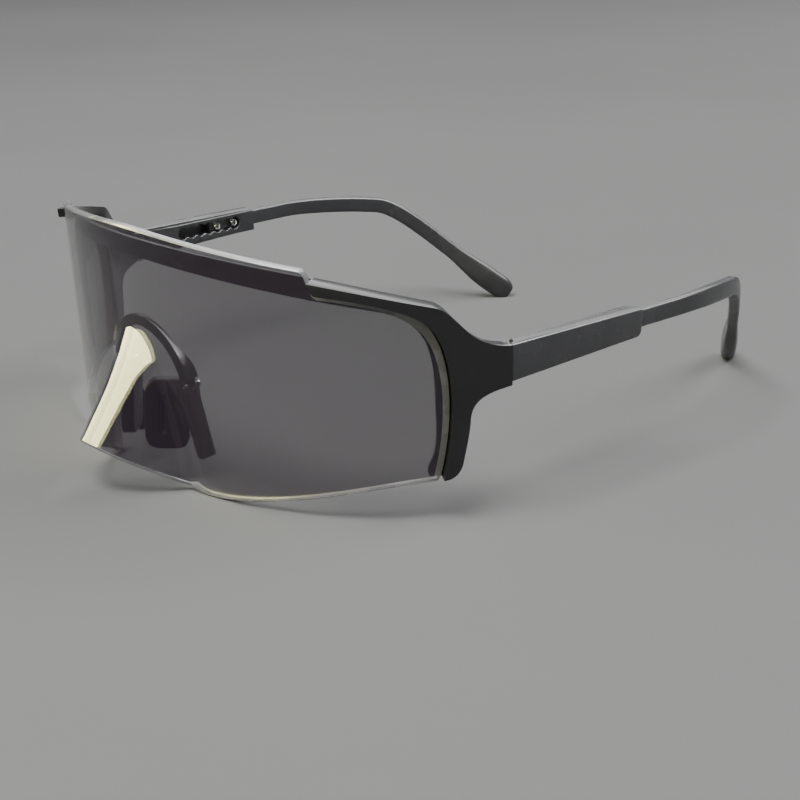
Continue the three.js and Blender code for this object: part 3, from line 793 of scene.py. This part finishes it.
def ring(path, share, thick, high, squareness=ARM_SQUARENESS):
    """A section of the arm or the tip: a box with rounded corners, less square for a lower number."""
    centre, across, up = path.frame(share)
    points = []
    for i in range(RING_POINTS):
        turn = 2 * math.pi * i / RING_POINTS
        cos, sin = math.cos(turn), math.sin(turn)
        a = math.copysign(abs(cos) ** (2 / squareness), cos)
        b = math.copysign(abs(sin) ** (2 / squareness), sin)
        points.append(centre + across * (a * thick / 2) + up * (b * high / 2))
    return points


def grown(start, growth, share):
    """A size (thick, high) with a share of its growth added."""
    return [size + gain * share for size, gain in zip(start, growth)]


def make_arms():
    path = arm_path()
    rings = []
    for share in steps(0.008, 0, TIP_START - 0.002):
        rings.append(ring(path, share, *grown(ARM_SECTION, ARM_GROWTH, smoothstep(0.26, 0.4, share))))
    rings.append(ring(path, TIP_START, *grown(ARM_SECTION, ARM_GROWTH, 1)))
    rings += [ring(path, share, 1.5, 2.6) for share in (TIP_START + 0.001, 0.84, 0.9, 0.95)]
    arm = loft("arm_blade", rings)
    for lobe in PIN_LOBES:
        bore = turned("bore", [(0, 1.45), (0.8, 1.45), (0.8, 6), (0, 6)])
        boolean(arm, across_temple(bore, lobe), "DIFFERENCE")
    finished_pair(arm, "arm", ["temple_arm"], TEMPLE_PLASTIC)


def make_ear_tips():
    path = arm_path()
    rings = []
    for share in (*steps(0.006, TIP_START + 0.0006, 0.95), *steps(0.0025, 0.954, 0.9985)):
        swell = smoothstep(TIP_START, 0.92, share)
        close = math.sqrt(1 - 0.8 * max(0.0, (share - 0.95) / 0.05) ** 3)
        size = [close * each for each in grown(grown(ARM_SECTION, ARM_GROWTH, 1), TIP_GROWTH, swell)]
        squareness = ARM_SQUARENESS + (TIP_SQUARENESS - ARM_SQUARENESS) * swell
        rings.append(ring(path, share, *size, squareness))
    inner = [ring(path, share, 2.0, 3.1) for share in (TIP_START - 0.02, 0.84, 0.9, 0.955)]
    hollow = loft("hollow", inner)
    tip = boolean(loft("soft_tip", rings), hollow, "DIFFERENCE")
    boolean(tip, block("ground", (0, 100, -10), (100, 200, 0)), "DIFFERENCE")
    finished_pair(tip, "arm", ["ear_tip"], TIP_RUBBER, 50)


def across_temple(obj, lobe):
    """Sets a piece that was turned about Y across the temple, at one lobe of the slot."""
    along = SLOT_LAST - lobe * SLOT_PITCH
    return bent(obj, lambda x, y, z: temple_point(along + x, y, TONGUE_Z + z))


def make_detent_pins():
    profile = [(0, 1.7), (0.45, 1.7), (0.55, 1.8), (0.55, 3.4), (1.05, 3.4), (1.05, 4.5),
               (0.95, 4.65), (0.8, 4.65), (0.68, 4.45), (0.62, 3.9), (0, 3.8)]
    for number, lobe in enumerate(PIN_LOBES, 1):
        pin = across_temple(turned(f"stop_pin_{number}", profile), lobe)
        finished_pair(pin, "arm", [f"detent_pin_{number}"], STEEL)


for make in (make_lens, make_frame, make_hinge_screws, make_bracket, make_legs, make_leg_pins,
             make_pads, make_sleeves, make_covers, make_arms, make_ear_tips, make_detent_pins):
    make()


# ---- Stage ----
def make_floor():
    bpy.ops.mesh.primitive_plane_add(size=12)
    floor = bpy.context.object
    floor.name = "floor"
    floor.data.materials.append(pale_floor())


def direction(azimuth, elevation):
    """A unit vector: degrees round from the front towards the wearer's left, and degrees up."""
    turn, rise = math.radians(azimuth), math.radians(elevation)
    flat = math.cos(rise)
    return Vector((math.sin(turn) * flat, -math.cos(turn) * flat, math.sin(rise)))


def make_light(name, azimuth, elevation, distance, size, power, colour, lights_floor):
    """A soft box that looks at the glasses from a direction. One that doesn't light the floor shows
    only in reflections."""
    away = direction(azimuth, elevation)
    light = bpy.data.lights.new(name, "AREA")
    light.shape = "RECTANGLE"
    light.size, light.size_y = size
    light.energy = power
    light.color = colour
    obj = bpy.data.objects.new(name, light)
    obj.location = away * distance
    obj.visible_diffuse = lights_floor
    obj.rotation_euler = away.to_track_quat("Z", "Y").to_euler()
    bpy.context.scene.collection.objects.link(obj)


def make_world():
    world = bpy.data.worlds.new("studio")
    world.use_nodes = True
    background = world.node_tree.nodes["Background"]
    background.inputs["Color"].default_value = WORLD_COLOUR
    background.inputs["Strength"].default_value = WORLD_STRENGTH
    bpy.context.scene.world = world


def make_camera():
    azimuth, roll = math.radians(CAMERA_AZIMUTH), math.radians(CAMERA_ROLL)
    x, y, z = CAMERA_TARGET
    target = Vector((x, y - ORIGIN_Y, z)) * MM
    back = direction(CAMERA_AZIMUTH, CAMERA_ELEVATION)
    right = Vector((math.cos(azimuth), math.sin(azimuth), 0))
    up = back.cross(right)
    rolled_right = right * math.cos(roll) + up * math.sin(roll)
    rolled_up = up * math.cos(roll) - right * math.sin(roll)
    camera = bpy.data.cameras.new("camera")
    camera.lens = CAMERA_FOCAL
    camera.clip_start = 0.01
    obj = bpy.data.objects.new("camera", camera)
    obj.matrix_world = Matrix((rolled_right, rolled_up, back)).transposed().to_4x4()
    obj.location = target + back * (CAMERA_DISTANCE * MM)
    bpy.context.scene.collection.objects.link(obj)
    bpy.context.scene.camera = obj


make_floor()
for light in LIGHTS:
    make_light(*light)
make_world()
make_camera()
